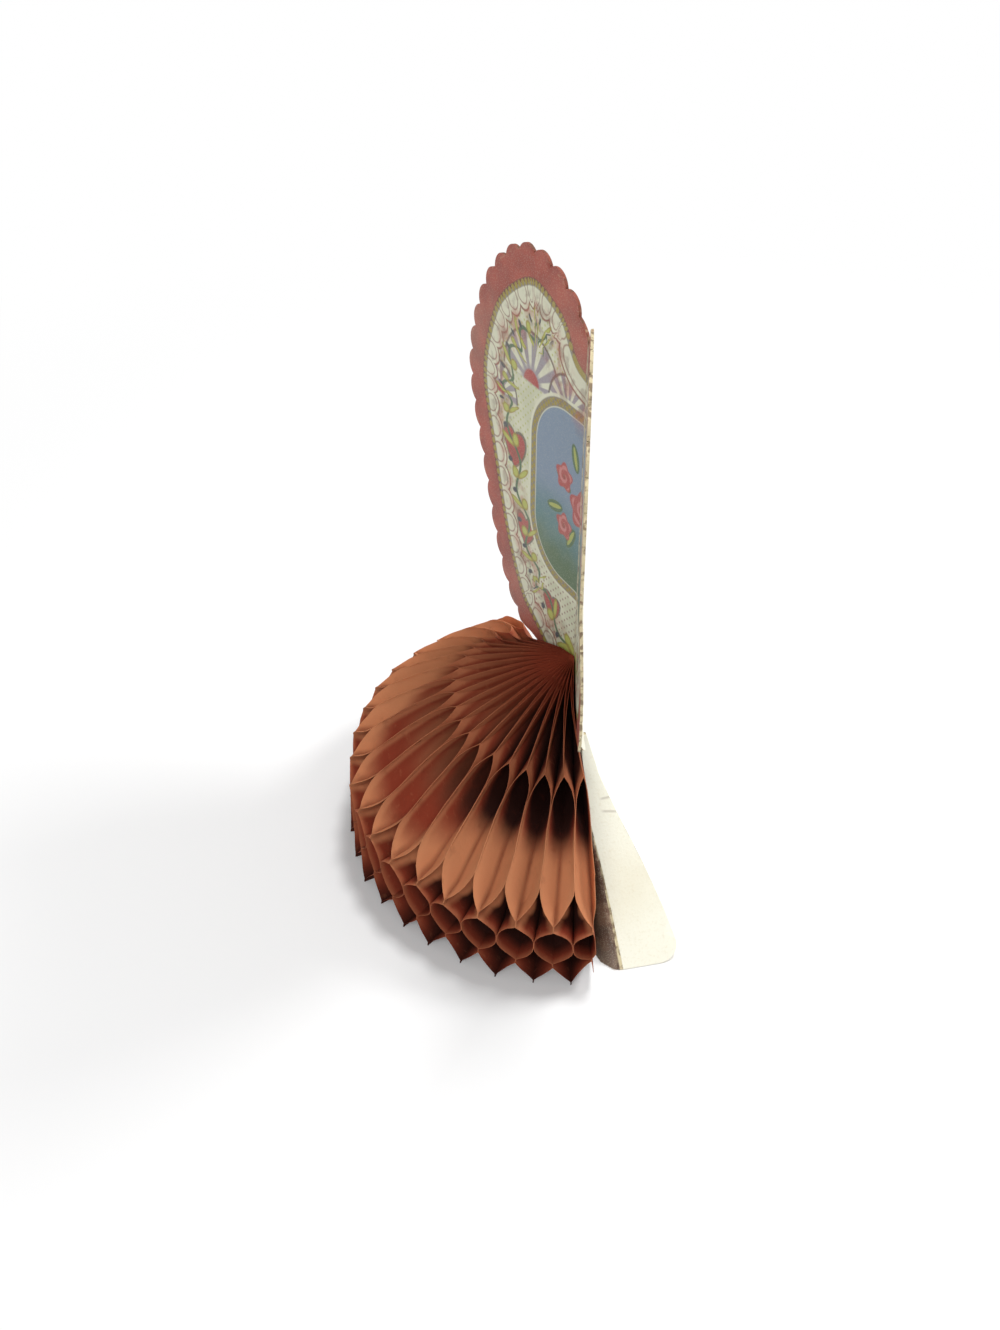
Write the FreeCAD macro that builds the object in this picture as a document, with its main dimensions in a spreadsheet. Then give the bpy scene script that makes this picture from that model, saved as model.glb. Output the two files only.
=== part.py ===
import FreeCAD, Part
import math
import os
import Sketcher

# Stand-up heart valentine: a creased die-cut card with two folded-back wings,
# and a half-round honeycomb tissue fan glued to the card along its spine.
# The origin is the foot of the spine on the table, the print faces -Y, +Z is up.

SIZES = (
    # card
    ("card_thickness", 0.65, "thickness of the board"),
    ("heart_half_width", 55.0, "centre line to the widest point of the heart"),
    ("heart_top", 154.5, "height of the two lobes"),
    ("neck_height", 6.0, "waist to the lower end of the scalloped border"),
    ("scallop_pitch", 7.2, "distance between two notches of the border"),
    ("scallop_depth", 1.7, "notch to crest of the border"),
    ("crease_angle", 16.5, "forward bend of each half of the heart, degrees"),
    ("crease_round", 1.6, "half width of the rounded crease"),
    ("bend_hold", 3.6, "drop under the fan's apex where the bend leaves the end leaves"),
    ("bend_full", 4.0, "height over the fan's apex where the bend is complete"),
    ("waist_half_width", 14.0, "half width of the neck under the heart"),
    ("waist_height", 41.0, "height of the neck, where the wings begin"),
    ("foot_half_width", 57.0, "half width of the standing edge"),
    ("wing_width", 14.8, "depth of a folded-back wing at its foot"),
    ("wing_corner", 5.0, "rounded rear corner of a wing"),
    ("wing_tip", 1.4, "depth of a wing at its upper end"),
    ("wing_bow", 1.1, "outward bow of a wing's rear edge"),
    ("fold_round", 0.45, "outer rounding of the wing folds"),
    # honeycomb fan
    ("fan_radius", 60.0, "outer radius of the open fan"),
    ("rim_height", 19.0, "height of the upright rim"),
    ("apex_height", 55.6, "height of the fan at its spine"),
    ("dome_rise", 4.9, "rise of the domed edge over its chord"),
    ("fan_opening", 163.2, "angle between the two end leaves, degrees"),
    ("petal_count", 19, "pairs of leaves joined at the first glue line"),
    ("glue_pitch", 12.5, "height between two glue lines of one pair"),
    ("glue_width", 3.0, "height of a glue line"),
    ("first_glue", 6.5, "height of the lowest glue line of a pair at the rim"),
    ("glue_slope", 0.16, "climb of the glue lines towards the spine, per length"),
    ("tissue", 0.4, "modelled thickness of a tissue wall"),
    ("core_radius", 6.0, "radius inside which the leaves lie together"),
    ("strip_half_width", 1.0, "half width of the glued spine strip"),
    ("strip_depth", 2.0, "depth of the glued spine strip"),
    ("spine_gap", 0.1, "glue gap between the spine strip and the card"),
)

# The heart's border as shares of its half width and of its height over the foot.
HEART_SHAPE = (
    (0.000, 0.874),
    (0.145, 0.958),
    (0.470, 1.000),
    (0.790, 0.900),
    (0.945, 0.763),
    (1.000, 0.614),
    (0.915, 0.447),
    (0.764, 0.214),
    (0.600, 0.065),
    (0.440, 0.003),
)

DOME_STEPS = 4
VERTICAL = FreeCAD.Vector(0, 0, 1)
ORIGIN = FreeCAD.Vector(0, 0, 0)


def make_sheet(doc):
    """Write the driving dimensions and return the spreadsheet."""
    sheet = doc.addObject("Spreadsheet::Sheet", "Sizes")
    for row, (alias, value, meaning) in enumerate(SIZES, start=1):
        sheet.set(f"A{row}", alias)
        sheet.set(f"B{row}", str(value))
        sheet.set(f"C{row}", meaning)
        sheet.setAlias(f"B{row}", alias)
    doc.recompute()
    return sheet


def feature(doc, name, shape):
    """Add a Part::Feature that holds a shape made with Part's functions."""
    obj = doc.addObject("Part::Feature", name)
    obj.Shape = shape
    return obj


# ---------------------------------------------------------------- heart card

def end_leaf_angle(size):
    """Angle between an end leaf of the fan and the flat foot, degrees."""
    return (180.0 - size.fan_opening) / 2


def heart_curve(size):
    """Right half of the border's middle line, from the cleft to the neck."""
    foot = size.waist_height + size.neck_height
    height = size.heart_top - foot
    inset = size.scallop_depth / 2
    points = [
        FreeCAD.Vector(x * (size.heart_half_width - inset), 0, foot + z * (height - inset))
        for x, z in HEART_SHAPE
    ]
    curve = Part.BSplineCurve()
    curve.interpolate(points)
    return curve


def border_point(curve, distance, offset):
    """Point at a distance along the border, moved outwards by an offset."""
    parameter = curve.parameterAtDistance(distance)
    tangent = curve.tangent(parameter)[0]
    outwards = FreeCAD.Vector(-tangent.z, 0, tangent.x)
    return curve.value(parameter) + outwards * offset


def scalloped_edges(size):
    """Arcs of the right half of the scalloped border, cleft first."""
    curve = heart_curve(size)
    length = curve.length()
    count = max(1, round(length / size.scallop_pitch))
    step = length / count
    swing = size.scallop_depth / 2
    notches = [border_point(curve, index * step, -swing) for index in range(count + 1)]
    notches[0] = FreeCAD.Vector(0, 0, notches[0].z)
    edges = []
    for index in range(count):
        # The scallop beside the cleft is flatter, so the two halves don't cross.
        crest = border_point(curve, (index + 0.5) * step, swing if index else 0.0)
        edges.append(Part.Arc(notches[index], crest, notches[index + 1]).toShape())
    return edges, notches[-1]


def right_outline(size):
    """Edges of the right half of the flat card, from the cleft to the table."""
    edges, last = scalloped_edges(size)
    waist = FreeCAD.Vector(size.waist_half_width, 0, size.waist_height)
    foot = FreeCAD.Vector(size.foot_half_width, 0, 0)
    neck = (last + waist) / 2 + FreeCAD.Vector(-0.12, 0, 0.12) * (last - waist).Length
    edges.append(Part.Arc(last, neck, waist).toShape())
    edges.append(Part.LineSegment(waist, foot).toShape())
    return edges


def card_face(size):
    """Flat face of the whole standing panel in the XZ plane."""
    right = right_outline(size)
    left = [edge.mirror(ORIGIN, FreeCAD.Vector(1, 0, 0)) for edge in right]
    half = size.foot_half_width
    base = Part.LineSegment(FreeCAD.Vector(half, 0, 0), FreeCAD.Vector(-half, 0, 0)).toShape()
    wire = Part.Wire(Part.__sortEdges__(right + [base] + left))
    return Part.Face(wire)


def crease_section(size, height, bend):
    """Closed section of the creased board at one height, bend in degrees."""
    slope = math.tan(math.radians(bend))
    reach = 1.2 * max(size.heart_half_width, size.foot_half_width)
    rounded = size.crease_round
    stations = (-reach, -rounded, -rounded / 2, rounded / 2, rounded, reach)
    drop = {rounded / 2: 0.0, rounded: rounded * slope / 3}
    front = []
    for x in stations:
        forward = drop.get(abs(x), (abs(x) - rounded) * slope + rounded * slope / 3)
        front.append(FreeCAD.Vector(x, size.spine_gap - forward, height))
    behind = FreeCAD.Vector(0, size.card_thickness / math.cos(math.radians(bend)), 0)
    back = [point + behind for point in reversed(front)]
    return Part.makePolygon(front + back + [front[0]])


def creased_board(doc, size):
    """Ruled loft of the board: flat to the waist, along the end leaves, then creased."""
    margin = 5.0
    hold = size.apex_height - size.bend_hold
    along_leaf = end_leaf_angle(size)
    heights = (
        (-margin, 0.0),
        (size.waist_height, 0.0),
        (size.waist_height + 0.45 * (hold - size.waist_height), along_leaf),
        (hold, along_leaf),
        (size.apex_height + size.bend_full, size.crease_angle),
        (size.heart_top + margin, size.crease_angle),
    )
    sections = [
        feature(doc, f"crease_{index}", crease_section(size, height, bend))
        for index, (height, bend) in enumerate(heights)
    ]
    board = doc.addObject("Part::Loft", "creased_board")
    board.Sections = sections
    board.Solid = True
    board.Ruled = True
    return board


def wing_face(size):
    """Face of the right wing, in the plane of the fold and the Y axis."""
    foot = FreeCAD.Vector(size.foot_half_width, size.spine_gap, 0)
    waist = FreeCAD.Vector(size.waist_half_width, size.spine_gap, size.waist_height)
    along = (waist - foot).normalize()
    back = FreeCAD.Vector(0, 1, 0)
    length = (waist - foot).Length
    corner = min(size.wing_corner, 0.45 * size.wing_width)

    def at(s, y):
        return foot + along * s + back * y

    turned = corner * (1 - math.sqrt(0.5))
    middle = at((corner + length) / 2, (size.wing_width + size.wing_tip) / 2 + size.wing_bow)
    edges = [
        Part.LineSegment(at(0, 0), at(0, size.wing_width - corner)),
        Part.Arc(
            at(0, size.wing_width - corner),
            at(turned, size.wing_width - turned),
            at(corner, size.wing_width),
        ),
        Part.Arc(at(corner, size.wing_width), middle, at(length, size.wing_tip)),
        Part.LineSegment(at(length, size.wing_tip), at(length, 0)),
        Part.LineSegment(at(length, 0), at(0, 0)),
    ]
    return Part.Face(Part.Wire([edge.toShape() for edge in edges]))


def fold_edges(shape, size):
    """Numbers of the two front edges along the wing folds."""
    found = []
    spread = size.foot_half_width - size.waist_half_width
    for number, edge in enumerate(shape.Edges, start=1):
        centre = edge.CenterOfMass
        share = centre.z / size.waist_height
        on_fold = abs(abs(centre.x) - (size.foot_half_width - share * spread)) < 0.05
        in_front = abs(centre.y - size.spine_gap) < 0.01
        if on_fold and in_front and edge.Length > 0.8 * spread:
            found.append((number, size.fold_round, size.fold_round))
    return found


def build_card(doc, size):
    """Standing panel and its two wings as one folded card."""
    outline = feature(doc, "card_outline", card_face(size))
    reach = 0.7 * size.heart_half_width
    outline.Placement = FreeCAD.Placement(FreeCAD.Vector(0, reach / 4, 0), FreeCAD.Rotation())
    cutter = doc.addObject("Part::Extrusion", "card_cutter")
    cutter.Base = outline
    cutter.DirMode = "Custom"
    cutter.Dir = FreeCAD.Vector(0, -1, 0)
    cutter.Solid = True
    cutter.setExpression("LengthFwd", "Sizes.heart_half_width * 0.7")
    panel = doc.addObject("Part::Common", "card_panel")
    panel.Base = creased_board(doc, size)
    panel.Tool = cutter

    lean = math.hypot(size.waist_height, size.foot_half_width - size.waist_half_width)
    wing = doc.addObject("Part::Extrusion", "wing_right")
    wing.Base = feature(doc, "wing_outline", wing_face(size))
    wing.DirMode = "Custom"
    wing.Dir = FreeCAD.Vector(-1, 0, 0)
    wing.Solid = True
    wing.LengthFwd = size.card_thickness * lean / size.waist_height
    mirrored = doc.addObject("Part::Mirroring", "wing_left")
    mirrored.Source = wing
    mirrored.Normal = FreeCAD.Vector(1, 0, 0)

    folded = doc.addObject("Part::MultiFuse", "folded_card")
    folded.Shapes = [panel, wing, mirrored]
    doc.recompute()
    card = doc.addObject("Part::Fillet", "heart_card")
    card.Base = folded
    card.Edges = fold_edges(folded.Shape, size)
    card.Label = "heart_card"
    return card


# ------------------------------------------------------------- honeycomb fan

def dome_points(size):
    """Points of the domed upper edge from the rim to the apex."""
    rim = FreeCAD.Vector(size.fan_radius, 0, size.rim_height)
    apex = FreeCAD.Vector(0, 0, size.apex_height)
    chord = (apex - rim).normalize()
    upwards = FreeCAD.Vector(chord.z, 0, -chord.x)
    middle = (rim + apex) / 2 + upwards * size.dome_rise
    arc = Part.Arc(rim, middle, apex).toShape()
    return arc.discretize(Number=DOME_STEPS + 1)


def leaf_sketch(doc, size):
    """Sketch of one leaf's outline, with its named sizes bound to the sheet."""
    dome = dome_points(size)
    corners = [ORIGIN, FreeCAD.Vector(size.fan_radius, 0, 0)] + dome
    sketch = doc.addObject("Sketcher::SketchObject", "leaf_outline")
    flat = [FreeCAD.Vector(point.x, point.z, 0) for point in corners]
    for start, end in zip(flat, flat[1:] + flat[:1]):
        sketch.addGeometry(Part.LineSegment(start, end), False)
    count = len(flat)
    for index in range(count):
        follower = (index + 1) % count
        sketch.addConstraint(Sketcher.Constraint("Coincident", index, 2, follower, 1))
    sketch.addConstraint(Sketcher.Constraint("Coincident", 0, 1, -1, 1))
    sketch.addConstraint(Sketcher.Constraint("Horizontal", 0))
    sketch.addConstraint(Sketcher.Constraint("Vertical", 1))
    sketch.addConstraint(Sketcher.Constraint("Vertical", count - 1))
    bound = (
        (0, "fan_radius", size.fan_radius),
        (1, "rim_height", size.rim_height),
        (count - 1, "apex_height", size.apex_height),
    )
    for geometry, name, value in bound:
        index = sketch.addConstraint(Sketcher.Constraint("Distance", geometry, value))
        sketch.renameConstraint(index, name)
        sketch.setExpression(f"Constraints.{name}", f"Sizes.{name}")
    for index in range(2, count - 2):
        point = flat[index + 1]
        sketch.addConstraint(Sketcher.Constraint("DistanceX", index, 2, point.x))
        sketch.addConstraint(Sketcher.Constraint("DistanceY", index, 2, point.y))
    first = -end_leaf_angle(size)
    upright = FreeCAD.Rotation(FreeCAD.Vector(1, 0, 0), 90)
    turned = FreeCAD.Rotation(VERTICAL, first)
    sketch.Placement = FreeCAD.Placement(ORIGIN, turned.multiply(upright))
    return sketch


def cell_wire(size, radius, centre, half_angle, near):
    """Hexagonal section of a cell at a radius; near cuts off an end leaf."""
    centre += size.glue_slope * (size.fan_radius - radius)
    full = radius * math.tan(half_angle)
    rise = size.glue_pitch / 2 - size.glue_width
    slope = rise / full
    offset = size.tissue / 2 * math.hypot(1.0, slope)
    side = full - size.tissue / 2 / math.cos(half_angle)
    peak = size.glue_pitch / 2 - size.glue_width / 2 - offset
    shoulder = peak - slope * side
    right = [(side, shoulder), (side, -shoulder)]
    if near is None:
        loop = [(0, peak)] + right + [(0, -peak), (-side, -shoulder), (-side, shoulder)]
    else:
        cut = peak - slope * near
        loop = [(near, cut)] + right + [(near, -cut)]
    points = [FreeCAD.Vector(radius, y, centre + z) for y, z in loop]
    return Part.makePolygon(points + [points[0]])


def cell(size, angle, centre, half_angle, side):
    """One radial cell; side is 0 for a whole cell, +1 or -1 at an end leaf."""
    inner = size.core_radius
    near = None
    if side:
        near = size.tissue
        inner = max(inner, 2.0 * size.tissue / math.tan(half_angle))
    sections = [
        cell_wire(size, radius, centre, half_angle, near)
        for radius in (inner, 1.03 * size.fan_radius)
    ]
    solid = Part.makeLoft(sections, True, True)
    if side < 0:
        solid = solid.mirror(ORIGIN, FreeCAD.Vector(0, 1, 0))
    solid.rotate(ORIGIN, VERTICAL, angle)
    return solid


def honeycomb_cells(size):
    """All cells: those inside the pairs, and those between two pairs."""
    count = int(size.petal_count)
    step = size.fan_opening / (count - 1)
    half_angle = math.radians(step / 2)
    first = -end_leaf_angle(size)
    climb = size.glue_slope * (size.fan_radius - size.core_radius)
    solids = []
    below = int(climb / size.glue_pitch) + 1
    rows = int(size.apex_height / size.glue_pitch) + 1
    for row in range(-below, rows):
        between = size.first_glue + row * size.glue_pitch
        inside = between - size.glue_pitch / 2
        for pair in range(count):
            side = {0: -1, count - 1: 1}.get(pair, 0)
            angle = first - pair * step
            if inside + climb - size.glue_pitch / 2 < size.apex_height - size.tissue:
                solids.append(cell(size, angle, inside, half_angle, side))
            if pair < count - 1 and between + climb - size.glue_pitch / 2 < size.apex_height:
                solids.append(cell(size, angle - step / 2, between, half_angle, 0))
    return Part.makeCompound(solids)


def build_fan(doc, size):
    """Half-round honeycomb pad: a turned block, less its radial cells."""
    block = doc.addObject("Part::Revolution", "fan_block")
    block.Source = leaf_sketch(doc, size)
    block.Axis = FreeCAD.Vector(0, 0, -1)
    block.Base = ORIGIN
    block.Solid = True
    block.setExpression("Angle", "Sizes.fan_opening")
    strip = doc.addObject("Part::Box", "spine_strip")
    strip.setExpression("Length", "Sizes.strip_half_width * 2")
    strip.setExpression("Width", "Sizes.strip_depth")
    strip.setExpression("Height", "Sizes.apex_height - Sizes.strip_depth")
    strip.setExpression("Placement.Base.x", "-Sizes.strip_half_width")
    strip.setExpression("Placement.Base.y", "-Sizes.strip_depth")
    pad = doc.addObject("Part::Fuse", "fan_pad")
    pad.Base = block
    pad.Tool = strip
    fan = doc.addObject("Part::Cut", "honeycomb_fan")
    fan.Base = pad
    fan.Tool = feature(doc, "fan_cells", honeycomb_cells(size))
    fan.Label = "honeycomb_fan"
    return fan


# --------------------------------------------------------------------- write

def check(doc, nodes):
    """Stop unless every object is computed and every node is one solid."""
    for obj in doc.Objects:
        if "Invalid" in obj.State or "Error" in obj.State:
            raise RuntimeError(f"{obj.Name} is not computed: {obj.State}")
    for node in nodes:
        shape = node.Shape
        if shape.isNull() or not shape.isValid() or len(shape.Solids) != 1:
            raise RuntimeError(f"{node.Label} is not one valid solid")


def main():
    doc = FreeCAD.newDocument("honeycomb_heart")
    size = make_sheet(doc)
    nodes = [build_card(doc, size), build_fan(doc, size)]
    doc.recompute()
    check(doc, nodes)
    os.makedirs("parts", exist_ok=True)
    for node in nodes:
        node.Shape.exportStep(f"parts/{node.Label}.step")
        box = node.Shape.BoundBox
        print(node.Label, round(node.Shape.Volume, 1), len(node.Shape.Faces), box)


main()
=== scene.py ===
"""Stand-up heart card with a half-round honeycomb tissue foot, dressed for the studio.

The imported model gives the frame: the card node and the honeycomb node. The card is
copied, gridded and printed; the honeycomb is rebuilt leaf by leaf as thin tissue.
"""

import logging
import math
from dataclasses import dataclass
from enum import Enum
from typing import Any, Iterable, Sequence

import bmesh
import bpy
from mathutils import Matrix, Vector, noise


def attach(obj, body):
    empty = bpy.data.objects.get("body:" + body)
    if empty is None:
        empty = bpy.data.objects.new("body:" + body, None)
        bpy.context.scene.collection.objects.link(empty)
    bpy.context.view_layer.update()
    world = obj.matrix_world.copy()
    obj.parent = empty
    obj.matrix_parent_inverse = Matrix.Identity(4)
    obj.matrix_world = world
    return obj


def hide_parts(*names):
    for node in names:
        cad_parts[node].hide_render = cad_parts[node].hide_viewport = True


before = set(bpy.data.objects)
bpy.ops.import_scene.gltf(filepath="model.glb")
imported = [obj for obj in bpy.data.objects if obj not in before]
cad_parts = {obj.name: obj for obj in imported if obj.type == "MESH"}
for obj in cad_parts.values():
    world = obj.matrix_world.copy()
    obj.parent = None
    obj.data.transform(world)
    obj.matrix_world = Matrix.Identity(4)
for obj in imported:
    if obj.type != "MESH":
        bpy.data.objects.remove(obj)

LOG = logging.getLogger("honeycomb_heart")
MM = 0.001
BORDER_MAP = "border"
MAP_UNIT = 100.0
FAN_RADIUS = 60.0
FAN_RIM = 19.0
FAN_APEX = 55.6
FAN_LIFT = 6.0
Colour = tuple[float, float, float]
Steps = Sequence[tuple[float, float]]
Coats = Iterable[tuple[Any, Any]]


def shade(red: int, green: int, blue: int) -> Colour:
    """Return the linear colour of an 8-bit display colour."""
    def linear(level: int) -> float:
        share = level / 255.0
        return share / 12.92 if share <= 0.04045 else ((share + 0.055) / 1.055) ** 2.4
    return (linear(red), linear(green), linear(blue))


def clamp(share: float) -> float:
    """Return a share kept between 0 and 1."""
    return min(1.0, max(0.0, share))


def smooth(share: float) -> float:
    """Return a share between 0 and 1, eased at both ends."""
    return share * share * (3.0 - 2.0 * share)


def between(place: float, steps: Steps) -> float:
    """Read a value from a table.

    Args:
        place: where to read it.
        steps: (place, value) pairs, lowest first.

    Returns:
        The value, level beyond the two ends.
    """
    for (low, first), (high, last) in zip(steps, steps[1:]):
        if place < high:
            return first + (last - first) * max(0.0, place - low) / (high - low)
    return steps[-1][1]


# --------------------------------------------------------------- shader maths

class Value:
    """A number in a node tree that takes part in ordinary arithmetic."""

    def __init__(self, nodes: "NodeMaker", socket: bpy.types.NodeSocket) -> None:
        """Wrap an output socket.

        Args:
            nodes: the maker that adds the Math nodes.
            socket: the output socket that carries the number.
        """
        self.nodes = nodes
        self.socket = socket

    def _apply(self, operation: str, *operands: Any) -> "Value":
        """Add a Math node.

        Args:
            operation: the Math node's operation.
            operands: numbers or values, in the node's order.

        Returns:
            The node's result.
        """
        return self.nodes.number("ShaderNodeMath", {"operation": operation}, *operands)

    def __add__(self, other: Any) -> "Value":
        """Return self + other."""
        return self._apply("ADD", self, other)

    __radd__ = __add__

    def __sub__(self, other: Any) -> "Value":
        """Return self - other."""
        return self._apply("SUBTRACT", self, other)

    def __rsub__(self, other: Any) -> "Value":
        """Return other - self."""
        return self._apply("SUBTRACT", other, self)

    def __mul__(self, other: Any) -> "Value":
        """Return self * other."""
        return self._apply("MULTIPLY", self, other)

    __rmul__ = __mul__

    def __pow__(self, other: Any) -> "Value":
        """Return self ** other."""
        return self._apply("POWER", self, other)

    def __abs__(self) -> "Value":
        """Return the size without its sign."""
        return self._apply("ABSOLUTE", self)

    def least(self, other: Any) -> "Value":
        """Return the smaller of the two."""
        return self._apply("MINIMUM", self, other)

    def most(self, other: Any) -> "Value":
        """Return the larger of the two."""
        return self._apply("MAXIMUM", self, other)

    def sine(self) -> "Value":
        """Return the sine, the value in radians."""
        return self._apply("SINE", self)

    def angle(self, across: Any) -> "Value":
        """Return the angle whose rise is self and whose run is across, in radians."""
        return self._apply("ARCTAN2", self, across)

    def floor(self) -> "Value":
        """Return the whole number below."""
        return self._apply("FLOOR", self)

    def root(self) -> "Value":
        """Return the square root."""
        return self._apply("SQRT", self)

    def every(self, pitch: float) -> "Value":
        """Return the offset from the nearest multiple of a pitch."""
        return self._apply("WRAP", self, pitch / 2, -pitch / 2)

    def ramp(self, low: float, high: float) -> "Value":
        """Ease from 0 to 1.

        Args:
            low: where the result is 0.
            high: where the result is 1; it may be under low.

        Returns:
            The eased and clamped share.
        """
        limits = (low, high, 0.0, 1.0) if low < high else (high, low, 1.0, 0.0)
        return self.nodes.number(
            "ShaderNodeMapRange", {"interpolation_type": "SMOOTHSTEP"}, self, *limits)


class NodeMaker:
    """Adds nodes to one material's tree."""

    def __init__(self, name: str) -> None:
        """Make a material with an empty tree.

        Args:
            name: the material's name.
        """
        self.material = bpy.data.materials.new(name)
        self.material.use_nodes = True
        self.tree = self.material.node_tree
        self.tree.nodes.clear()

    def make(self, kind: str, settings: dict[str, Any], inputs: dict[Any, Any]) -> bpy.types.Node:
        """Add any node.

        Args:
            kind: the node's type.
            settings: properties that are set before the sockets.
            inputs: values or links by socket name or index.

        Returns:
            The new node.
        """
        node = self.tree.nodes.new(kind)
        for key, setting in settings.items():
            setattr(node, key, setting)
        for key, given in inputs.items():
            socket = node.inputs[key]
            source = given.socket if isinstance(given, Value) else given
            if isinstance(source, bpy.types.NodeSocket):
                self.tree.links.new(source, socket)
            else:
                socket.default_value = source
        return node

    def feed(self, kind: str, inputs: dict[Any, Any], output: Any = 0) -> bpy.types.NodeSocket:
        """Add a node as it comes and return one of its outputs.

        Args:
            kind: the node's type.
            inputs: values or links by socket name or index.
            output: the output's name or index.

        Returns:
            The output socket.
        """
        return self.make(kind, {}, inputs).outputs[output]

    def point(self) -> bpy.types.NodeSocket:
        """Return the point on the object, in metres."""
        return self.feed("ShaderNodeTexCoord", {}, "Object")

    def number(self, kind: str, settings: dict[str, Any], *operands: Any) -> Value:
        """Add a node that gives a number.

        Args:
            kind: the node's type.
            settings: properties of the node.
            operands: the first sockets' numbers or values, in order.

        Returns:
            The number it gives.
        """
        node = self.make(kind, settings, dict(enumerate(operands)))
        return Value(self, node.outputs[0])

    def place(self) -> tuple[Value, Value, Value]:
        """Return the point on the object in millimetres, as three values."""
        parts = self.make("ShaderNodeSeparateXYZ", {}, {0: self.point()}).outputs
        return tuple(Value(self, part) * (1 / MM) for part in parts)

    def layer(self, name: str) -> tuple[Value, Value]:
        """Return a UV map's two numbers in millimetres.

        Args:
            name: the map's name.

        Returns:
            The first and the second number.
        """
        chart = self.make("ShaderNodeUVMap", {"uv_map": name}, {}).outputs[0]
        parts = self.make("ShaderNodeSeparateXYZ", {}, {0: chart}).outputs
        return Value(self, parts[0]) * MAP_UNIT, Value(self, parts[1]) * MAP_UNIT

    def grain(
            self, scale: float, detail: float = 3.0,
            stretch: Sequence[float] = (1, 1, 1)) -> Value:
        """Add soft noise over the object.

        Args:
            scale: cells per metre.
            detail: octaves of finer noise.
            stretch: scale of the three axes.

        Returns:
            Noise between 0 and 1.
        """
        place = self.feed("ShaderNodeMapping", {"Vector": self.point(), "Scale": tuple(stretch)})
        noise_inputs = {"Vector": place, "Scale": scale, "Detail": detail}
        return Value(self, self.feed("ShaderNodeTexNoise", noise_inputs))

    def cells(self, scale: float) -> Value:
        """Return the distance to scattered points, scale points per metre."""
        inputs = {"Vector": self.point(), "Scale": scale}
        return Value(self, self.feed("ShaderNodeTexVoronoi", inputs, "Distance"))

    def paint(self, under: Any, over: Any, mask: Any) -> bpy.types.NodeSocket:
        """Lay one colour over another.

        Args:
            under: the colour, motif or link below.
            over: the colour, motif or link above.
            mask: how much of the upper one shows.

        Returns:
            The mixed colour.
        """
        def full(colour: Any) -> Any:
            plain = colour.value if isinstance(colour, Enum) else colour
            return (*plain, 1.0) if isinstance(plain, tuple) else plain
        inputs = {"Factor": mask, 6: full(under), 7: full(over)}
        return self.make("ShaderNodeMix", {"data_type": "RGBA"}, inputs).outputs[2]

    def coat(self, under: Any, coats: Coats) -> Any:
        """Lay several colours over one another.

        Args:
            under: the colour below them all.
            coats: each colour with its mask, lowest first.

        Returns:
            The mixed colour.
        """
        for over, mask in coats:
            under = self.paint(under, over, mask)
        return under

    def relief(self, height: Value, distance: float, strength: float) -> bpy.types.NodeSocket:
        """Turn a height into a bumped normal.

        Args:
            height: the height, 0 to 1.
            distance: metres that a height of 1 stands up.
            strength: share of the effect.

        Returns:
            The normal.
        """
        inputs = {"Height": height, "Distance": distance, "Strength": strength}
        return self.feed("ShaderNodeBump", inputs)

    def surface(
            self, inputs: dict[str, Any],
            translucent: tuple[Any, float] | None = None) -> bpy.types.Material:
        """Close the tree with a Principled shader.

        Args:
            inputs: values or links of the shader's sockets.
            translucent: colour and share of light let through, if any.

        Returns:
            The finished material.
        """
        shader = self.feed("ShaderNodeBsdfPrincipled", inputs)
        if translucent:
            tint, share = translucent
            through = self.feed("ShaderNodeBsdfTranslucent", {"Color": tint})
            shader = self.feed("ShaderNodeMixShader", {0: share, 1: shader, 2: through})
        self.make("ShaderNodeOutputMaterial", {}, {0: shader})
        return self.material


# -------------------------------------------------------------------- finishes

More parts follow.
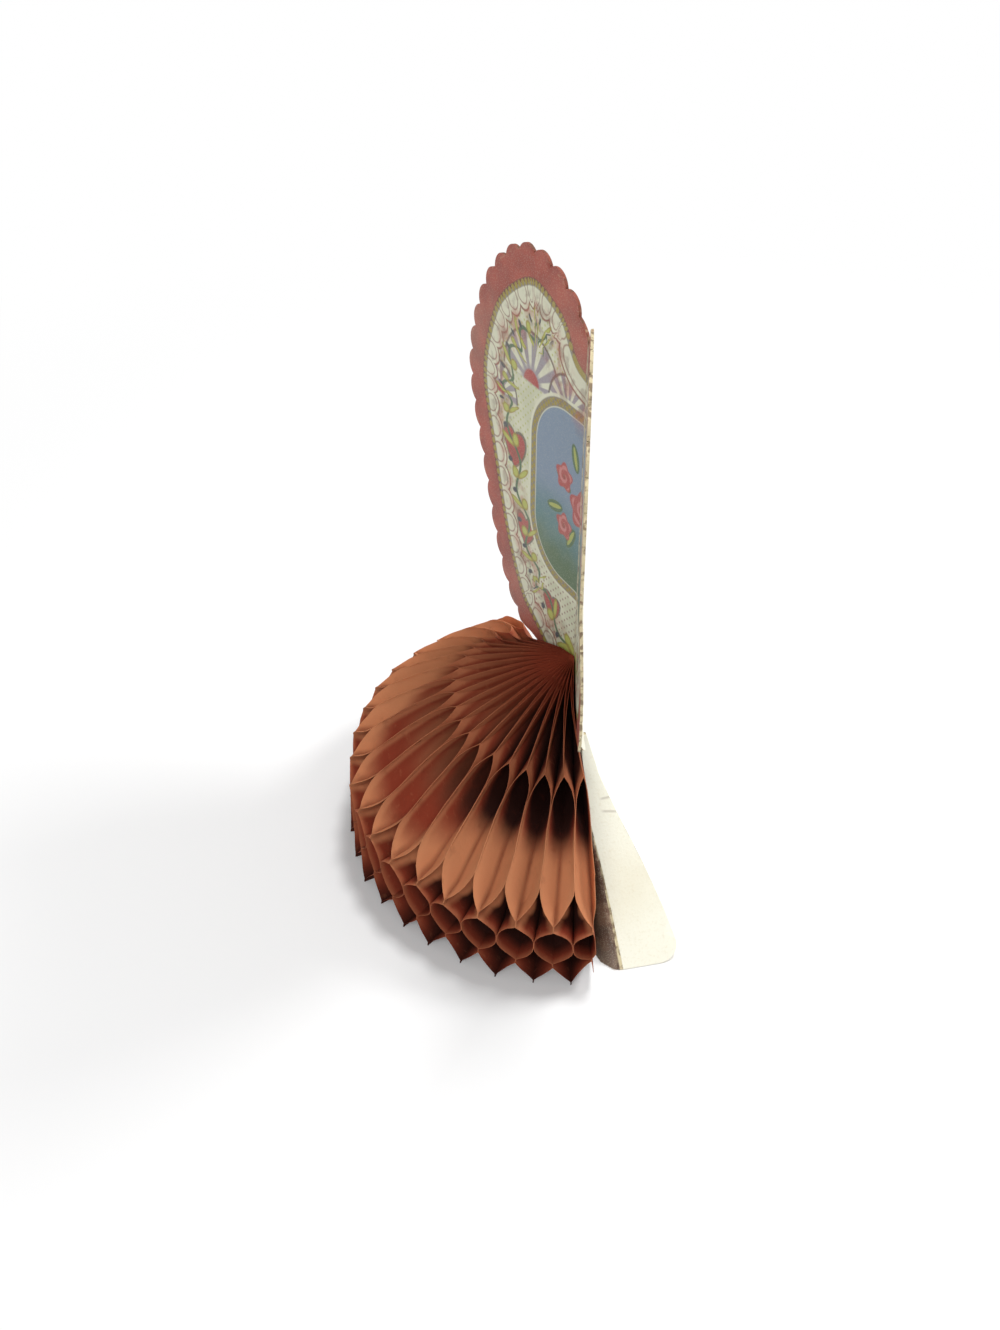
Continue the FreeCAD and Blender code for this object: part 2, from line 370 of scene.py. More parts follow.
@dataclass(frozen=True)
class TissueFinish:
    """Rust-orange honeycomb tissue, paler where the leaves' cut edges and the petals catch light
    (painted highlights), with painted shade in the slits, in the card's shadow and along the
    bottom.
    """

    # The hollow colour is near-black painted shade. The deep colour serves painted shade and
    # random mottling. The faded colour serves painted highlights, light let through the tissue and
    # pale fibres.
    hollow: Colour = shade(54, 26, 20)
    deep_rust_and_shade: Colour = shade(128, 50, 32)
    rust: Colour = shade(166, 72, 48)
    faded_and_lit: Colour = shade(230, 158, 112)
    let_through: float = 0.3
    climb: float = 11.3
    slope: float = 0.297
    bulge: float = 0.00515
    petal_start: float = 0.0675
    petal_step: float = 0.1583

    def material(self) -> bpy.types.Material:
        """Return the tissue material."""
        nodes = NodeMaker("rust_tissue")
        x, y, z = nodes.place()
        radius = (x * x + y * y).root()
        turned = (y * -1.0).angle(x)
        raised = turned.ramp(0.785, 2.27) * radius * (FAN_LIFT / FAN_RADIUS)
        climbed = radius.ramp(54.5, 39.0) * self.climb
        level = z - raised * (z * (1.0 / FAN_RIM)).least(1.0) - climbed
        dome = FAN_APEX - self.slope * radius - self.bulge * radius * radius
        under = dome - z + raised
        blotch = nodes.grain(60.0, 4.0)
        depth = under.least(61.0 - radius) + (blotch - 0.5) * 6.0
        near = turned.ramp(1.55, 0.75)
        upper = level.ramp(17.4, 18.6)
        middle = turned.ramp(0.75, 1.25) * turned.ramp(2.1, 1.6)
        far = turned.ramp(1.7, 2.3)
        outward = radius - middle * 11.0 + far * 8.0 + (blotch - 0.5) * 5.0
        petal = upper * outward.ramp(39.0, 47.0)
        shut = 1.0 - upper
        # Painted shade: the dark mask marks the slits and the cells, darker with depth, and the
        # inner cells near the card where its shadow falls.
        dark = upper * radius.ramp(47.0, 38.0) * under.ramp(0.6, 4.0)
        dark = dark.most(shut * depth.ramp(1.5, 7.0))
        fibres = nodes.grain(900.0, 3.0, (1, 1, 0.25))
        # Painted shade in the slits, with random darker blotches of tissue.
        shaded = dark * (near * 0.65 + 0.35) + blotch.ramp(0.7, 0.3) * 0.4
        colour = nodes.paint(self.rust, self.deep_rust_and_shade, shaded.least(1.0) * 0.8)
        # Painted light: paler tissue in the far side's shaded slits stands for light let through
        # the tissue.
        colour = nodes.paint(colour, self.faded_and_lit, upper * dark * (1.0 - near) * 0.4)
        # Painted shade: near-black in the near side's slits.
        colour = nodes.paint(colour, self.hollow, dark * (near * 0.9 + 0.08))
        # Painted shade: the card's shadow on the inner cells of the near side.
        gloom = upper * turned.ramp(0.75, 0.3) * radius.ramp(38.0, 28.0) * under.ramp(0.2, 1.2)
        colour = nodes.paint(colour, self.hollow, gloom * 0.85)
        # Painted highlight: the lit petals by the rim are paler.
        colour = nodes.paint(colour, self.faded_and_lit, petal * 0.9)
        count = (turned - self.petal_start) * (1.0 / self.petal_step)
        valley = abs(count - count.floor() - 0.5).ramp(0.14, 0.0)
        # Painted shade: a darker line down each petal's valley.
        colour = nodes.paint(colour, self.deep_rust_and_shade, petal * valley * level.ramp(25.0, 20.0) * 0.55)
        # Painted shade: the bottom few millimetres darkened to merge with the fan's shadow on the
        # table.
        colour = nodes.paint(colour, self.hollow, z.ramp(6.0, 0.5) * 0.85)
        # Painted highlight: paler tissue along the leaves' cut edges at the dome and round the
        # rim.
        edge = under.ramp(1.5, 0.2) * radius.ramp(6.0, 30.0)
        rim = radius.ramp(58.2, 60.2) * z.ramp(3.0, 8.0) * 0.8
        colour = nodes.paint(colour, self.faded_and_lit, edge.most(rim) * 0.45)
        colour = nodes.paint(colour, self.faded_and_lit, fibres.ramp(0.58, 0.75) * (1.0 - dark) * 0.12)
        colour = nodes.paint(colour, self.deep_rust_and_shade, nodes.grain(220.0, 5.0).ramp(0.6, 0.75) * 0.25)
        normal = nodes.relief(fibres * 0.5 + nodes.grain(240.0, 4.0), 0.0004, 0.5)
        return nodes.surface(
            {"Base Color": colour, "Roughness": 0.85, "Normal": normal, "Specular IOR Level": 0.2},
            (colour, self.let_through))


@dataclass(frozen=True)
class BoardFinish:
    """Bare cream board of the card's back and wings, with foxing, rubbed marks and painted shade
    along two creases.
    """

    name: str = "cream_board"
    cream: Colour = shade(247, 245, 228)
    aged: Colour = shade(224, 214, 182)
    marks_and_crease_shade: Colour = shade(128, 104, 84)
    creases: Steps = ((29.4, 0.05), (27.4, -0.1))

    def material(self) -> bpy.types.Material:
        """Return the bare board material."""
        nodes = NodeMaker(self.name)
        _, y, z = nodes.place()
        fibres = nodes.grain(1500.0, 4.0)
        foxing = nodes.grain(45.0, 5.0).ramp(0.42, 0.75)
        colour = nodes.paint(self.cream, self.aged, foxing * 0.3)
        colour = nodes.paint(colour, self.aged, fibres.ramp(0.5, 0.8) * 0.35)
        colour = nodes.paint(colour, self.marks_and_crease_shade, nodes.grain(210.0, 6.0).ramp(0.68, 0.76) * 0.35)
        # Painted shade: darker lines along two creases on the wings.
        for height, slope in self.creases:
            fold = abs(z - height - y * slope).ramp(0.35, 0.05) * y.ramp(0.5, 2.0)
            colour = nodes.paint(colour, self.marks_and_crease_shade, fold * 0.35)
        normal = nodes.relief(fibres, 0.0001, 0.6)
        return nodes.surface({"Base Color": colour, "Roughness": 0.75, "Normal": normal})


@dataclass(frozen=True)
class CutEdgeFinish:
    """Cut edge of the board: grey-brown core with rubbed white and dark flecks; brick-red on the
    far half, the near half left pale as a painted highlight.
    """

    core: Colour = shade(214, 200, 162)
    stained_and_shaded: Colour = shade(150, 84, 68)
    soiled: Colour = shade(104, 76, 58)

    def material(self) -> bpy.types.Material:
        """Return the cut edge material."""
        nodes = NodeMaker("cut_board_edge")
        fleck = nodes.grain(700.0, 4.0)
        x, _, z = nodes.place()
        # Painted highlight: the near half's edges keep the pale core where they catch light, and
        # the far half's turn brick-red; random red flecks besides.
        far = (x + (fleck - 0.5) * 30.0).ramp(12.0, -4.0) * z.ramp(40.0, 50.0)
        red = far.most(fleck.ramp(0.62, 0.7) * 0.6)
        colour = nodes.paint(self.core, self.stained_and_shaded, red)
        colour = nodes.paint(colour, self.soiled, nodes.grain(420.0, 5.0).ramp(0.5, 0.6) * 0.75)
        return nodes.surface({
            "Base Color": colour, "Roughness": 0.85, "Normal": nodes.relief(fleck, 0.0001, 0.5)})


class Motif(Enum):
    """Colours of the print, and the painted shade of the card's foot."""

    BRICK = shade(186, 92, 74)
    BRICK_DARK = shade(158, 76, 62)
    CREAM = shade(230, 230, 204)
    GROUND = shade(212, 214, 184)
    LEAF = shade(190, 194, 96)
    GOLD = shade(168, 150, 66)
    DROP = shade(74, 76, 82)
    LILAC = shade(166, 158, 164)
    SKY = shade(134, 152, 172)
    TEAL = shade(96, 134, 136)
    GREEN = shade(92, 118, 84)
    PINK = shade(206, 132, 128)
    ROSE = shade(182, 84, 78)
    LACE = shade(152, 104, 84)
    INK = shade(86, 66, 56)
    SMUDGE_AND_FOOT_SHADE = shade(120, 84, 64)
    FOOT_SHADE_DARK = shade(84, 54, 42)
    EDGE_RUB = shade(214, 190, 156)
    CREASE_RUB = shade(206, 194, 158)
    TONED = shade(206, 200, 176)


@dataclass(frozen=True)
class PrintFinish:
    """Colour print of the card's front: brick border, gold beads, scrolls and roses, with painted
    shade on the foot.
    """

    border: float = 7.5
    medallion_height: float = 98.0
    foot_line: tuple[float, float] = (46.5, 45.5)
    soft: float = 0.22

    def disc(self, u: Value, v: Value, radius: float, aspect: float = 1.0) -> Value:
        """Mask a disc or ellipse.

        Args:
            u: distance from its middle across.
            v: distance from its middle upwards.
            radius: half its width.
            aspect: height over width.

        Returns:
            1 inside, 0 outside.
        """
        tall = v * (1.0 / aspect)
        return (u * u + tall * tall).root().ramp(radius + self.soft, radius - self.soft)

    def ring(self, distance: Value, radius: float, half: float) -> Value:
        """Return the mask of a line of half width half at a distance radius."""
        return abs(distance - radius).ramp(half + self.soft, half - self.soft)

    def rose(self, u: Value, v: Value, size: float) -> Coats:
        """Paint one simple five-lobed rose.

        Args:
            u: distance from its middle across.
            v: distance from its middle upwards.
            size: its radius.

        Yields:
            Each tint with its mask.
        """
        away = (u * u + v * v).root()
        turn = v.angle(u)
        lobe = (turn * 5.0).sine() * 0.14 * size
        yield Motif.ROSE, (away - lobe).ramp(size, size - 0.5)
        swirl = (away * 2.6 + turn).sine().ramp(-0.1, 0.7)
        heart = (away - lobe).ramp(size * 0.88, size * 0.7)
        yield Motif.PINK, swirl * heart
        yield Motif.BRICK_DARK, away.ramp(0.9, 0.5) * 0.8

    def edging(self, along: Value, depth: Value) -> Coats:
        """Paint what follows the border: lace, vine, drops, beads and the brick band.

        Args:
            along: distance along the border.
            depth: distance in from the border.

        Yields:
            Each tint with its mask.
        """
        nodes = depth.nodes
        arc = along.every(6.6)
        inward = depth - 9.6
        lace = (arc * arc + inward * inward).root()
        lace_band = depth.ramp(15.6, 14.9)
        yield Motif.CREAM, lace.ramp(4.3, 4.0)
        yield Motif.LACE, self.ring(lace, 4.1, 0.28) * lace_band
        yield Motif.LACE, self.ring(lace, 2.6, 0.2) * 0.8
        flush = nodes.grain(190.0, 4.0).ramp(0.44, 0.6)
        flush = flush * depth.ramp(9.0, 13.0) * depth.ramp(23.0, 17.0)
        yield Motif.BRICK, flush * 0.5
        smudge = nodes.grain(310.0, 4.0).ramp(0.5, 0.62)
        smudge = smudge * depth.ramp(8.5, 11.0) * depth.ramp(26.0, 16.0)
        yield Motif.SMUDGE_AND_FOOT_SHADE, smudge * 0.4
        vine = depth - 18.6 - (along * (2 * math.pi / 17.0)).sine() * 2.1
        clear = along.ramp(3.0, 5.0)
        yield Motif.GREEN, abs(vine).ramp(0.75, 0.35) * clear
        leaf_pitch = 8.5
        for side in (-1.0, 1.0):
            leaf_u = along.every(leaf_pitch) + vine * (0.5 * side)
            leaf_v = vine - side * 2.0
            for tint, size in ((Motif.GOLD, 1.35), (Motif.LEAF, 0.95)):
                leaf = self.disc(leaf_u, leaf_v, size, 1.5)
                yield tint, leaf * clear
        drop = self.disc((along + leaf_pitch / 2).every(leaf_pitch), depth - 15.6, 0.75, 1.5)
        yield Motif.DROP, drop * clear
        band = depth.ramp(self.border + 0.2, self.border - 0.2)
        worn = nodes.grain(130.0, 5.0).ramp(0.3, 0.72)
        brick = nodes.paint(Motif.BRICK_DARK, Motif.BRICK, worn)
        yield brick, band
        beads = self.disc(along.every(2.1), depth - self.border, 0.8)
        yield Motif.INK, self.ring(depth, self.border, 0.95) * 0.7
        yield Motif.GOLD, beads

    def medallion(self, x: Value, z: Value) -> Coats:
        """Paint the round-cornered panel with its spray of roses.

        Args:
            x: distance from the centre crease, signed.
            z: height over the panel's middle.

        Yields:
            Each tint with its mask.
        """
        nodes = x.nodes
        wide = (abs(x) - 8.0).most(0.0)
        tall = (abs(z) - 10.0).most(0.0)
        frame_line = (wide * wide + tall * tall).root()
        inside = frame_line.ramp(13.2, 12.8)
        hills = (z + nodes.grain(90.0) * 9.0).ramp(8.0, -6.0)
        sky = nodes.paint(Motif.SKY, Motif.TEAL, hills)
        meadow = (z + nodes.grain(160.0) * 7.0).ramp(-5.0, -16.0)
        sky = nodes.paint(sky, Motif.GREEN, meadow)
        yield Motif.CREAM, frame_line.ramp(16.6, 16.2)
        yield sky, inside
        for turn in range(8):
            angle = turn * math.pi / 4 + 0.3
            reach = 9.5 if turn % 2 else 12.5
            u = x - math.cos(angle) * reach
            v = z - math.sin(angle) * reach * 1.1
            along = u * math.cos(angle) + v * math.sin(angle)
            across = v * math.cos(angle) - u * math.sin(angle)
            blade = self.disc(along, across, 3.6, 0.42)
            yield Motif.GREEN, blade
            rib = self.disc(along, across, 2.9, 0.2)
            yield Motif.LEAF, rib * 0.8
        roses = (
            (0.0, 0.5, 5.2), (-8.2, 6.0, 3.6), (8.2, 6.4, 3.6),
            (-7.6, -7.4, 3.4), (7.8, -7.0, 3.4))
        for u, v, size in roses:
            yield from self.rose(x - u, z - v, size)
        bead_line = 14.4
        shadow = self.ring(frame_line, bead_line, 1.15)
        yield Motif.INK, shadow * 0.75
        beads = self.disc((x + z).every(2.0), (x - z).every(2.0), 0.85)
        beads = beads * self.ring(frame_line, bead_line, 0.9)
        yield Motif.GOLD, beads

    def shells(self, x: Value, z: Value) -> Coats:
        """Paint the fan-shaped shells at the top of the two lobes.

        Args:
            x: distance from the centre crease, without its sign.
            z: height.

        Yields:
            Each tint with its mask.
        """
        for middle, foot, size in ((24.0, 121.0, 13.0), (7.5, 121.5, 8.5), (39.0, 112.0, 8.5)):
            u = x - middle
            v = z - foot
            away = (u * u + v * v).root()
            ribs = (v.angle(u) * 14.0).sine().ramp(-0.3, 0.5)
            upper = v.ramp(-0.3, 0.5)
            field = away.ramp(size + 0.2, size - 0.2) * upper
            yield Motif.LILAC, field
            outer = away.ramp(size * 0.25, size * 0.45)
            yield Motif.CREAM, field * ribs * outer
            rim = self.ring(away, size, 0.35)
            yield Motif.INK, rim * upper * 0.8
            hub = away.ramp(size * 0.3, size * 0.24)
            yield Motif.ROSE, hub * upper

    def hearts(self, x: Value, z: Value) -> Coats:
        """Paint the small hearts beside and under the medallion.

        Args:
            x: distance from the centre crease, without its sign.
            z: height.

        Yields:
            Each tint with its mask.
        """
        for middle, height, size in ((31.5, 99.0, 4.4), (25.5, 78.0, 3.6), (12.0, 62.5, 3.2)):
            u = abs(x - middle) * (1 / size)
            v = (z - height) * (1 / size) - (u * 0.62) ** 0.8
            away = (u * u * 0.8 + v * v).root()
            yield Motif.INK, away.ramp(1.22, 1.12) * 0.8
            yield Motif.ROSE, away.ramp(1.04, 0.96)

    def material(self) -> bpy.types.Material:
        """Return the printed front's material."""
        nodes = NodeMaker("printed_front_and_foot_shade")
        x, _, z = nodes.place()
        along, depth = nodes.layer(BORDER_MAP)
        wide = abs(x)
        mottle = nodes.grain(180.0, 5.0)
        colour = nodes.paint(Motif.GROUND, Motif.CREAM, mottle.ramp(0.35, 0.7))
        stipple = self.disc((wide + z).every(2.3), (wide - z).every(2.3), 0.42)
        colour = nodes.paint(colour, Motif.LACE, stipple * z.ramp(84.0, 70.0) * 0.8)
        colour = nodes.paint(colour, Motif.LEAF, stipple * z.ramp(84.0, 96.0) * 0.8)
        colour = nodes.coat(colour, self.shells(wide, z))
        colour = nodes.coat(colour, self.hearts(wide, z))
        colour = nodes.coat(colour, self.medallion(x, z - self.medallion_height))
        colour = nodes.coat(colour, self.edging(along, depth))
        # Painted shade: the foot is dark brown low down, where it stands in shade between the
        # fan's end leaf and the card, and bare cream board higher up.
        foot = z.ramp(*self.foot_line)
        foot_shade = nodes.paint(Motif.FOOT_SHADE_DARK, Motif.SMUDGE_AND_FOOT_SHADE, mottle.ramp(0.35, 0.7))
        colour = nodes.paint(colour, foot_shade, foot)
        bare = (z + (mottle - 0.5) * 6.0).ramp(20.0, 27.0) * foot
        colour = nodes.paint(colour, Motif.CREAM, bare)
        dots = nodes.cells(2600.0)
        colour = nodes.paint(colour, Motif.CREAM, dots.ramp(0.42, 0.2) * 0.16)
        rub = nodes.grain(520.0, 6.0)
        edge = (depth + (rub - 0.5) * 3.0).ramp(0.9, -0.2)
        crease = (wide + (rub - 0.5) * 1.6).ramp(0.9, 0.1)
        colour = nodes.paint(colour, Motif.EDGE_RUB, edge * rub.ramp(0.5, 0.62) * 0.7)
        colour = nodes.paint(colour, Motif.CREASE_RUB, crease * 0.8)
        specks = nodes.grain(380.0, 5.0).ramp(0.52, 0.6)
        colour = nodes.paint(colour, Motif.INK, crease * specks * 0.8)
        toning = nodes.grain(26.0, 4.0).ramp(0.5, 0.8)
        colour = nodes.paint(colour, Motif.TONED, toning * 0.2)
        normal = nodes.relief(nodes.grain(1400.0, 3.0), 0.00006, 0.5)
        rough = 0.42 + rub * 0.2
        return nodes.surface({"Base Color": colour, "Roughness": rough, "Normal": normal})


# ------------------------------------------------------------------- modelling

def alone(piece: bpy.types.Object) -> None:
    """Select one object only and make it active."""
    if bpy.context.mode != "OBJECT":
        bpy.ops.object.mode_set(mode="OBJECT")
    bpy.ops.object.select_all(action="DESELECT")
    piece.select_set(True)
    bpy.context.view_layer.objects.active = piece


def edit(piece: bpy.types.Object) -> None:
    """Open one mesh in edit mode with all of it selected."""
    alone(piece)
    bpy.ops.object.mode_set(mode="EDIT")
    bpy.ops.mesh.select_all(action="SELECT")


def triangles(piece: bpy.types.Object) -> int:
    """Return how many triangles a mesh object has."""
    piece.data.calc_loop_triangles()
    return len(piece.data.loop_triangles)


def copy_piece(piece: bpy.types.Object, name: str) -> bpy.types.Object:
    """Copy an object with a mesh of its own.

    Args:
        piece: the object to copy.
        name: the copy's name.

    Returns:
        The copy, linked to the scene.
    """
    copy = piece.copy()
    copy.data = piece.data.copy()
    copy.name = name
    bpy.context.scene.collection.objects.link(copy)
    return copy


@dataclass
class HeartCard:
    """The folded board: scalloped heart, neck, standing foot and two wings."""

    half_width: float = 55.0
    top: float = 154.5
    foot_top: float = 47.0
    scallop_depth: float = 1.7
    waist: tuple[float, float] = (14.0, 41.0)
    standing_half: float = 57.0
    grid: float = 2.4
    crease_half: float = 1.07
    glued: float = 2.0
    wing_start: float = 0.9
    flank: tuple[float, float] = (0.69, 0.72)
    packed_bend: Steps = ((41.0, 0.0), (45.95, 8.4), (52.0, 8.4), (59.6, 16.5))
    near_bend: Steps = (
        (8.0, 7.0), (41.0, 7.0), (47.0, 9.0), (52.0, 13.2), (80.0, 14.2), (110.0, 15.7))
    far_bend: Steps = ((8.0, 7.0), (41.0, 7.0), (46.0, 14.0), (48.5, 16.5))
    bow: Steps = ((0.0, 0.0), (9.0, 0.6), (17.0, 1.5), (26.0, 2.8), (33.0, 3.1), (41.0, 1.3))
    lobe_drop: float = 2.2
    shape: tuple[tuple[float, float], ...] = (
        (0.000, 0.874), (0.145, 0.958), (0.470, 1.000), (0.790, 0.900), (0.945, 0.763),
        (1.000, 0.614), (0.915, 0.447), (0.764, 0.214), (0.600, 0.065), (0.440, 0.003),
    )

    def outline(self) -> list[Vector]:
        """Return points of the right half's edge, from the cleft to the table."""
        inset = self.scallop_depth / 2
        width = self.half_width - inset
        tall = self.top - self.foot_top - inset
        knots = [Vector((x * width, self.foot_top + z * tall)) for x, z in self.shape]
        knots = [2 * knots[0] - knots[1]] + knots + [2 * knots[-1] - knots[-2]]
        points = []
        parts, foot_parts = 12, 20
        for before, start, end, after in zip(knots, knots[1:], knots[2:], knots[3:]):
            for step in range(parts):
                t = step / parts
                points.append(0.5 * (
                    2 * start + (end - before) * t
                    + (2 * before - 5 * start + 4 * end - after) * t * t
                    + (3 * start - before - 3 * end + after) * t * t * t))
        points.append(Vector(self.waist))
        foot = Vector((self.standing_half, 0.0))
        points += [points[-1].lerp(foot, step / foot_parts) for step in range(1, foot_parts + 1)]
        return points

    def chart(self, piece: bpy.types.Object) -> None:
        """Write the border map: distance along the edge, and in from it.

        Args:
            piece: the card's mesh object.
        """
        line = self.outline()
        reach = [0.0]
        for start, end in zip(line, line[1:]):
            reach.append(reach[-1] + (end - start).length)
        nearest = []
        for vertex in piece.data.vertices:
            spot = Vector((abs(vertex.co.x) / MM, vertex.co.z / MM))
            best = (1e9, 0.0)
            for index in range(len(line) - 1):
                start, span = line[index], line[index + 1] - line[index]
                share = clamp((spot - start).dot(span) / span.length_squared)
                gap = (spot - start - span * share).length
                if gap < best[0]:
                    best = (gap, reach[index] + share * span.length)
            nearest.append((best[1] / MAP_UNIT, best[0] / MAP_UNIT))
        layer = piece.data.uv_layers.new(name=BORDER_MAP)
        for loop in piece.data.loops:
            layer.data[loop.index].uv = nearest[loop.vertex_index]

    def gridded(self, piece: bpy.types.Object) -> None:
        """Cut the mesh into a fine grid so that the map runs evenly.

        Args:
            piece: the card's mesh object.
        """
        edit(piece)
        bpy.ops.mesh.remove_doubles(threshold=0.00001)
        for axis, low, high in ((0, -57.0, 57.0), (2, 0.0, 154.0)):
            count = int((high - low) / self.grid)
            normal = [0.0, 0.0, 0.0]
            normal[axis] = 1.0
            for step in range(1, count):
                point = [0.0, 0.0, 0.0]
                point[axis] = (low + step * self.grid + 0.13) * MM
                bpy.ops.mesh.select_all(action="SELECT")
                bpy.ops.mesh.bisect(plane_co=point, plane_no=normal)
        bpy.ops.object.mode_set(mode="OBJECT")

    def bend(self, height: float, near: bool) -> float:
        """Read how far a half bends forward.

        Args:
            height: height on the card.
            near: True for the half at +X, which bends a little less.

        Returns:
            The bend in degrees.
        """
        return between(height, self.near_bend if near else self.far_bend)

    def press(self, piece: bpy.types.Object) -> None:
        """Bend both halves round the end leaves, bow the near wing and lower the near lobe.

        Args:
            piece: the card's mesh object.
        """
        half_waist, waist_height = self.waist
        taper = (self.standing_half - half_waist) / waist_height
        for vertex in piece.data.vertices:
            x, y, height = vertex.co / MM
            arm = max(0.0, abs(x) - self.crease_half)
            loose = max(0.0, arm - self.glued)
            wanted = math.tan(math.radians(self.bend(height, x > 0.0)))
            if height <= waist_height:
                bow = between(height, self.bow) if x > 0.0 else 0.0
                if y > self.wing_start:
                    vertex.co.y -= bow * MM
                    continue
                fold = self.standing_half - height * taper
                away = clamp((fold - abs(x)) / min(9.0, 0.4 * fold))
                fade = math.sqrt(away * (2.0 - away))
                vertex.co.y -= bow * min(1.0, arm / 10.0) * (1.0 - fade) * MM
                arm = loose * fade
            else:
                blend = min(1.0, (height - waist_height) / 4.0)
                arm = arm * blend + loose * (1.0 - blend)
            more = wanted - math.tan(math.radians(between(height, self.packed_bend)))
            vertex.co.y -= arm * more * MM
            if x > 0.0:
                lobe = clamp((height - 112.0) / 36.0) * min(1.0, x / 9.0)
                vertex.co.z -= self.lobe_drop * smooth(lobe) * MM

    def dress(self, piece: bpy.types.Object) -> None:
        """Give the front, the bare board and the cut edges their finishes.

        Args:
            piece: the card's mesh object.
        """
        piece.data.materials.clear()
        for finish in (BoardFinish(), PrintFinish(), CutEdgeFinish()):
            piece.data.materials.append(finish.material())
        board, front, cut_edge = range(3)
        facing = 0.55
        for face in piece.data.polygons:
            middle = face.center / MM
            low = middle.z < self.waist[1] + 0.5
            across = abs(abs(face.normal.x) * self.flank[0] + face.normal.z * self.flank[1])
            if low and (middle.y > self.wing_start or across > 0.97):
                face.material_index = board if across > 0.9 else cut_edge
            elif face.normal.y < -facing:
                face.material_index = front
            elif face.normal.y > facing:
                face.material_index = board
            else:
                face.material_index = cut_edge

    def build(self) -> bpy.types.Object:
        """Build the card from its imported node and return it."""
        piece = copy_piece(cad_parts["heart_card"], "folded_heart_card")
        self.gridded(piece)
        self.chart(piece)
        self.dress(piece)
        self.press(piece)
        alone(piece)
        bpy.ops.object.shade_smooth_by_angle(angle=math.radians(28))
        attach(piece, "root")
        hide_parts("heart_card")
        LOG.info("folded_heart_card: %d triangles", triangles(piece))
        return piece


